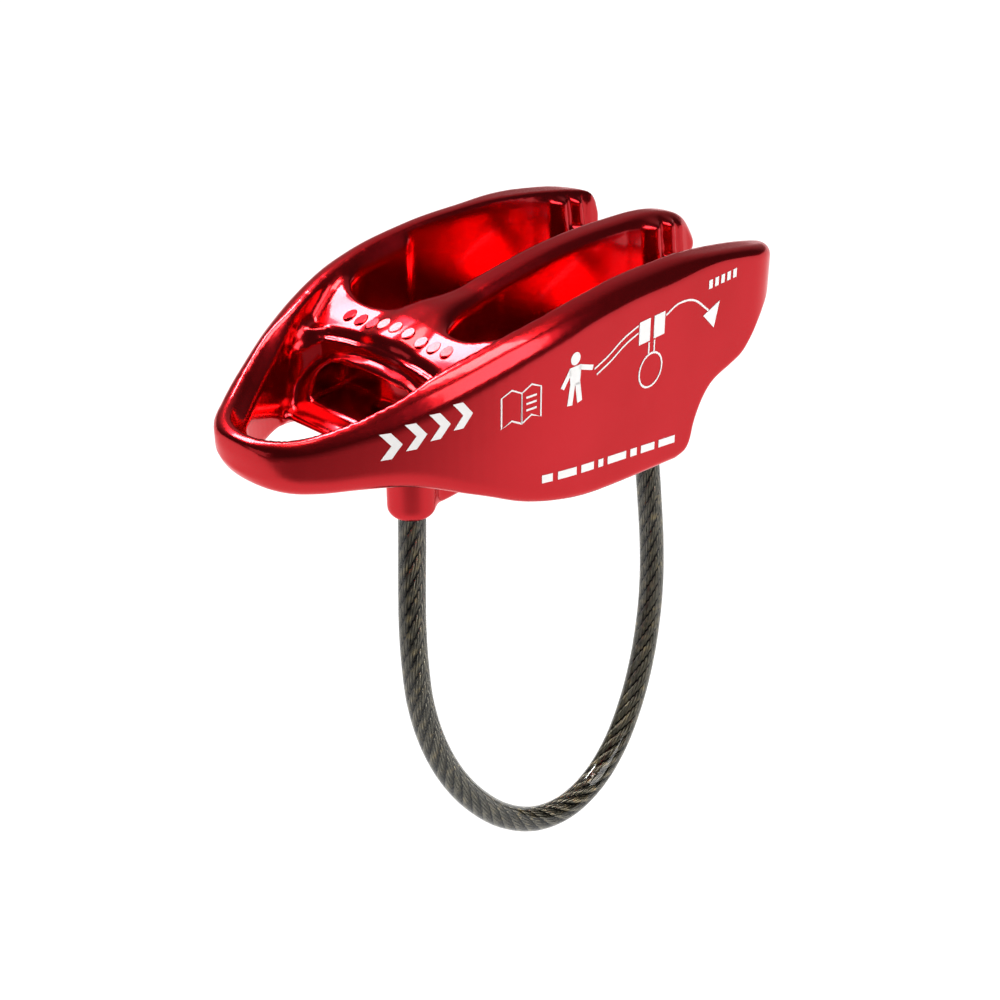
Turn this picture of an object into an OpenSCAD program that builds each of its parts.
/* [Body] */
// Width over the outer faces of the two side plates
body_w = 35; // [34:0.25:36]
// Thickness of each of the three plates
plate_t = 4; // [3.6:0.1:4.4]
// Height of the side plates' crown above the connector seat
crown_z = 25.1; // [24.5:0.1:26]
// X of the tip of the nose
nose_x = -47.2; // [-47.6:0.1:-46.8]
// X of the rear end of the two side plates
tail_x = 28.9; // [28.6:0.1:29.2]
// X of the rear end of the middle plate
middle_tail_x = 30.5; // [30:0.1:31]
// Thickness of the nose rim in plan
rim_t = 3.3; // [3:0.1:3.6]

/* [Rope slots] */
// X of the rounded front end of both rope slots
slot_front_x = -20.8; // [-21.2:0.1:-20.4]
// X of the rear end of the through slots, where the rear cross-member starts
slot_rear_x = 10; // [9:0.1:10.5]
// How far the first tooth narrows the slot on each side
throat_bite = 0.9; // [0.5:0.1:1.2]

/* [Keeper loop] */
// Outer diameter of the jacketed cable
cable_d = 3.4; // [3.3:0.05:3.45]
// Length along the cable in which a strand winds once round the core
lay_length = 15; // [14:0.5:18]
// Depth of the jacketed end inside each lug
jacket_in = 2; // [1.5:0.1:2.5]
// Length of each crimp sleeve
sleeve_l = 6; // [5:0.5:6]
// Outer diameter of the two cable lugs
lug_d = 5.8; // [5.4:0.1:6.2]

/* [Hidden] */
$fn = 96;

// Body: the plan outline is two long side arcs, a round nose and two rounded tail corners
half_w = body_w / 2;
side_arc_r = 56;
side_arc_x = -11;
side_arc_y = half_w - side_arc_r;
// the nose circle that touches both side arcs
nose_gap_x = nose_x - side_arc_x;
nose_r = (side_arc_r ^ 2 - nose_gap_x ^ 2 - side_arc_y ^ 2) / (2 * (side_arc_r + nose_gap_x));
nose_cx = nose_x + nose_r;
nose_to_arc = side_arc_r - nose_r;
tangent_x = side_arc_x + (nose_cx - side_arc_x) * side_arc_r / nose_to_arc;
tail_r = 10;

// Body: side outline
crown_x = -2.5;
top_rear_x = 22;
crown_r = 90;
nose_top_x = -38.8;
belly_x = 4;
belly_front_x = -28;
belly_r = 80;
rim_top_z = 16.4;
rim_bottom_z = 10.2;
// lower edge between the belly and the nose, and the rear edge under the tail, as X and Z
chin = [[-31, 8.7], [-34, 9.6]];
rump = [[27.4, 14.8], [25, 14], [23, 12.6], [20.8, 10.6], [19, 9.2]];
belly_corner_r = 2;
heel_x = 9.5;
heel_r = 5;
heel_z = 3.2;
tail_corner_r = 2.5;
tail_top_z = 21;
tail_low_z = 16.2;
cut_z = 40;

// Middle plate and lugs
ridge = [[-21, 20.9], [-18, 21.4], [-14, 22], [-10, 22.7], [-5, 23.3], [0, 23.8], [6, 24], [12.5, 23.8],
         [19.4, 23.3], [24, 22.3], [27.3, 20.8], [29, 19]];
lug_front = [-22, 0, -3.5];
lug_rear = [21.5, 0, 4];
web_t = plate_t;
web_front_z = -2.4;
web_flush_x = -2;

// Nose cavity, front block and its pocket
bridge_x = -25.5;
bridge_top_z = 20.4;
step_x = -26.4;
step_z = 19.6;
lip_x = -32;
lip_z = 10.8;
block_x = -27.4;
block_top_z = 17.8;
arch_half_w = 11.2;
arch_z = 9;
pocket_end_x = -24;
// half of the pocket's mouth, as Y and Z
pocket_mouth = [[6.6, 11.8], [6.6, 14.2], [5, 16.2]];

// Rope slots and the toothed V behind them
slot_w = (body_w - 3 * plate_t) / 2;
slot_y = plate_t / 2 + slot_w / 2;
half_slot = slot_w / 2;
shelf_end_x = 23;

// Slim end of the middle plate behind the side plates, as X and Z
middle_tail_t = 2.2;
middle_tail = [[24, 14], [middle_tail_x - 0.6, 15.2], [middle_tail_x, 16.4],
    [29, 19], [27, 20.8], [24, 21]];

// Cable
cable_r = cable_d / 2;
bore_r = 1.8;
bore_spare = 0.3;
jacket_bore_r = 1.36;
jacket_gap = 0.15;
strand_r = 0.36;
strand_ring_r = 0.85;
core_r = 0.37;
sleeve_bore_r = 1.27;
strand_in = jacket_in + sleeve_l;
rope_steps = 3;
jacket_sides = 8;
strand_sides = 6;

// Centreline of the keeper loop between the two lug mouths
loop_route = [[-22, 0, -3.5], [-22.3, -0.2, -7], [-23, -0.7, -12], [-23.8, -1.4, -17.5], [-24.2, -2.1, -23],
              [-24.1, -2.8, -28.5], [-23, -3.7, -34.5], [-20.7, -4.6, -40.5], [-17.3, -5.5, -46],
              [-12.7, -6.3, -51], [-7, -6.9, -54.7], [-1, -7.3, -56], [5, -7.2, -55], [10, -6.9, -51.7],
              [14, -6.3, -47], [17, -5.6, -41.6], [19.2, -4.8, -35.7], [20.4, -4.1, -30], [21, -3.3, -24],
              [21.1, -2.5, -17.8], [21.2, -1.6, -11.5], [21.4, -0.7, -5], [21.5, -0.2, 0], [21.5, 0, 4]];
jacket_route = concat([lug_front + [0, 0, jacket_in - jacket_gap]], loop_route,
                      [lug_rear + [0, 0, jacket_in - jacket_gap]]);
strand_route = concat([lug_front + [0, 0, strand_in]], jacket_route, [lug_rear + [0, 0, strand_in]]);

// ---- functions ----

// points of a circular arc, degrees
function arc(c, r, a0, a1, n) = [for (i = [0:n]) let (a = a0 + (a1 - a0) * i / n) c + r * [cos(a), sin(a)]];

// point of the Catmull-Rom curve through route, u counted in route points
function spot(route, u) =
    let (last = len(route) - 1, i = min(floor(u), last - 1), t = u - i,
         b = route[i], c = route[i + 1],
         a = i > 0 ? route[i - 1] : 2 * b - c,
         d = i + 2 <= last ? route[i + 2] : 2 * c - b)
    b + (c - a) * t / 2 + (2 * a - 5 * b + 4 * c - d) * t ^ 2 / 2 + (3 * b - a - 3 * c + d) * t ^ 3 / 2;

function stations(route) = [for (k = [0:(len(route) - 1) * rope_steps]) spot(route, k / rope_steps)];

function unit(v) = v / norm(v);

function heading(p, i) = unit(p[min(i + 1, len(p) - 1)] - p[max(i - 1, 0)]);

// the two directions across the curve at station i: the first stays close to +Y
function across(p, i) = let (t = heading(p, i), u = unit([0, 1, 0] - t[1] * t)) [u, cross(t, u)];

function run(p, i) = i == 0 ? 0 : run(p, i - 1) + norm(p[i] - p[i - 1]);

// a point at distance r and angle a from the curve at station i
function beside(p, i, r, a) = let (d = across(p, i)) r * (cos(a) * d[0] + sin(a) * d[1]);

// ring of n points of radius r about station i
function ring(p, i, r, n) = [for (k = [0:n - 1]) p[i] + beside(p, i, r, 360 * k / n)];

// side faces between rings of n points that start at point first; flip turns them inside out
function skin(rings, n, first, flip) =
    [for (i = [0:rings - 2], k = [0:n - 1])
        let (a = first + i * n + k, b = first + i * n + (k + 1) % n)
        each flip ? [[a, b, b + n], [a, b + n, a + n]] : [[a, b + n, b], [a, a + n, b + n]]];

// a strand whose centre sits at off from the curve and turns once per lay
module strand(offset_r, r, n, phase) {
    p = stations(strand_route);
    rings = len(p);
    points = [for (i = [0:rings - 1])
        let (off = beside(p, i, offset_r, phase + 360 * run(p, i) / lay_length))
        for (v = ring(p, i, r, n)) v + off];
    caps = [[for (k = [0:n - 1]) k], [for (k = [n - 1:-1:0]) (rings - 1) * n + k]];
    polyhedron(points, concat(skin(rings, n, 0, false), caps));
}

// ---- body ----

// plan outline of the whole body, moved in by inset in the nose and along the sides
module plan(inset) {
    translate([nose_cx, 0]) circle(nose_r - inset);
    intersection() {
        translate([side_arc_x, side_arc_y]) circle(side_arc_r - inset);
        translate([side_arc_x, -side_arc_y]) circle(side_arc_r - inset);
        translate([tangent_x, -half_w]) square([side_arc_x - tangent_x, body_w]);
    }
    translate([side_arc_x, inset - half_w]) square([tail_x - tail_r - side_arc_x, body_w - 2 * inset]);
    for (s = [-1, 1]) translate([tail_x - tail_r, s * (half_w - tail_r)]) circle(tail_r - inset);
    translate([tail_x - tail_r, tail_r - half_w]) square([tail_r - inset, body_w - 2 * tail_r]);
}

// side outline of the outer plates and rim, as X and Z
module side_outline() {
    top = crown_z - crown_r;
    front_a = acos((nose_top_x - crown_x) / crown_r);
    rear_a = acos((top_rear_x - crown_x) / crown_r);
    belly_a = 270 - asin((belly_x - belly_front_x) / belly_r);
    polygon(concat(
        [[nose_x, rim_top_z]],
        arc([crown_x, top], crown_r, front_a, rear_a, 24),
        arc([tail_x - tail_corner_r, tail_top_z - tail_corner_r], tail_corner_r, 75, 0, 6),
        [[tail_x, tail_low_z]], rump,
        arc([heel_x + heel_r, heel_z], heel_r, 90, 180, 8),
        arc([heel_x - belly_corner_r, belly_corner_r], belly_corner_r, 0, -90, 6),
        arc([belly_x, belly_r], belly_r, 270, belly_a, 20), chin,
        [[nose_x + 5, rim_bottom_z], [nose_x + 2, rim_bottom_z + 0.6], [nose_x, rim_bottom_z + 2]]));
}

// extrudes an X-Z outline along Y, centred on y
module slab(y, w) {
    translate([0, y + w / 2, 0]) rotate([90, 0, 0]) linear_extrude(w) children();
}

// one rope slot in plan: round front end, straight sides, then the toothed V open at the tail
module slot_plan() {
    translate([slot_front_x + half_slot, 0]) circle(half_slot);
    bite = half_slot - throat_bite;
    side = [[slot_front_x + half_slot, half_slot], [16.5, half_slot], [20, bite], [21.7, half_slot],
            [23.3, bite + 0.3], [24.4, half_slot], [25.5, bite + 0.6], [middle_tail_x, half_slot + 0.7]];
    polygon(concat(side, [for (i = [len(side) - 1:-1:0]) [side[i][0], -side[i][1]]]));
}

// space above the rear cross-member and ahead of it, as X and Z
module above_shelf() {
    polygon([[slot_front_x, -cut_z], [slot_rear_x, -cut_z], [slot_rear_x, 9], [slot_rear_x + 1.5, 11.5],
             [17.5, 13.6], [shelf_end_x, 17], [shelf_end_x, -cut_z], [middle_tail_x, -cut_z],
             [middle_tail_x, cut_z], [slot_front_x, cut_z]]);
}

module rope_slots() {
    for (s = [-1, 1]) intersection() {
        translate([0, s * slot_y, -cut_z]) linear_extrude(2 * cut_z) slot_plan();
        slab(s * slot_y, body_w / 2) above_shelf();
    }
}

// opening inside the rim: all the way through ahead of the block, over the block's sloping face and the
// step, up to the bridge; the block's sides fall away in an arch
module nose_cavity() {
    front = nose_x - 1;
    intersection() {
        translate([0, 0, -cut_z]) linear_extrude(2 * cut_z) plan(rim_t);
        union() {
            slab(0, body_w) polygon([[front, -cut_z], [lip_x, -cut_z], [lip_x, lip_z],
                [block_x, block_top_z], [step_x, block_top_z], [step_x, step_z],
                [bridge_x, step_z], [bridge_x, cut_z], [front, cut_z]]);
            difference() {
                translate([front, -half_w, lip_z]) cube([step_x - front, body_w, block_top_z]);
                translate([front, 0, arch_z]) scale([1, arch_half_w / (block_top_z - arch_z), 1])
                    rotate([0, 90, 0]) cylinder(r = block_top_z - arch_z, h = -front);
            }
        }
    }
}

module pocket() {
    other_side = [for (i = [len(pocket_mouth) - 1:-1:0]) [-pocket_mouth[i][0], pocket_mouth[i][1]]];
    translate([pocket_end_x, 0, 0]) rotate([90, 0, -90])
        linear_extrude(pocket_end_x - nose_cx) polygon(concat(pocket_mouth, other_side));
}

// everything above the bridge, its saddle and the middle plate's ridge, between the side plates
module above_ridge() {
    polygon(concat([[bridge_x - 12, cut_z], [bridge_x - 12, bridge_top_z], [bridge_x, bridge_top_z]], ridge,
                   [[ridge[len(ridge) - 1][0], cut_z]]));
}

module lug(at, height) {
    translate(at) cylinder(d = lug_d, h = height);
}

module lug_bore(at) {
    translate(at - [0, 0, 1]) cylinder(r = bore_r, h = 1 + strand_in + bore_spare);
}

// lower edge of the middle plate between the two lugs
module web() {
    slab(0, web_t) polygon([[lug_front[0], web_front_z], [-12, web_front_z], [-7, -1.6],
        [web_flush_x, -0.5],
        [belly_x, 0], [belly_x, 6], [lug_front[0], 8]]);
    slab(0, web_t) polygon([[13, 8.2], [17, 5.6], [lug_rear[0], 4.8], [lug_rear[0], 14], [13, 14]]);
}

module body() color([0.78, 0.1, 0.15]) {
    difference() {
        union() {
            intersection() {
                translate([0, 0, -cut_z]) linear_extrude(2 * cut_z) plan(0);
                slab(0, body_w) side_outline();
            }
            lug(lug_front, 14);
            lug(lug_rear, 11);
            web();
            slab(0, middle_tail_t) polygon(middle_tail);
        }
        rope_slots();
        nose_cavity();
        pocket();
        slab(0, 2 * (half_w - plate_t)) above_ridge();
        lug_bore(lug_front);
        lug_bore(lug_rear);
    }
}

// ---- keeper loop ----

module end_sleeve(at) {
    translate(at + [0, 0, jacket_in]) difference() {
        cylinder(r = bore_r, h = sleeve_l);
        translate([0, 0, -1]) cylinder(r = sleeve_bore_r, h = sleeve_l + 2);
    }
}

module front_end_sleeve() color([0.75, 0.76, 0.78]) end_sleeve(lug_front);

module rear_end_sleeve() color([0.75, 0.76, 0.78]) end_sleeve(lug_rear);

module cable_jacket() color([0.3, 0.3, 0.29, 0.4]) {
    p = stations(jacket_route);
    rings = len(p);
    n = jacket_sides;
    points = concat([for (i = [0:rings - 1]) each ring(p, i, cable_r, n)],
                    [for (i = [0:rings - 1]) each ring(p, i, jacket_bore_r, n)]);
    inner = rings * n;
    tail = (rings - 1) * n;
    ends = [for (k = [0:n - 1]) let (j = (k + 1) % n)
        each [[k, j, inner + j], [k, inner + j, inner + k],
              [tail + k, inner + tail + j, tail + j], [tail + k, inner + tail + k, inner + tail + j]]];
    polyhedron(points, concat(skin(rings, n, 0, false), skin(rings, n, inner, true), ends));
}

module cable_core() color([0.32, 0.31, 0.28]) strand(0, core_r, strand_sides, 0);

module outer_strand(number) color([0.36, 0.34, 0.3])
    strand(strand_ring_r, strand_r, strand_sides, 60 * number);

body();
front_end_sleeve();
rear_end_sleeve();
cable_jacket();
cable_core();
for (number = [1:6]) {
    outer_strand(number);
}
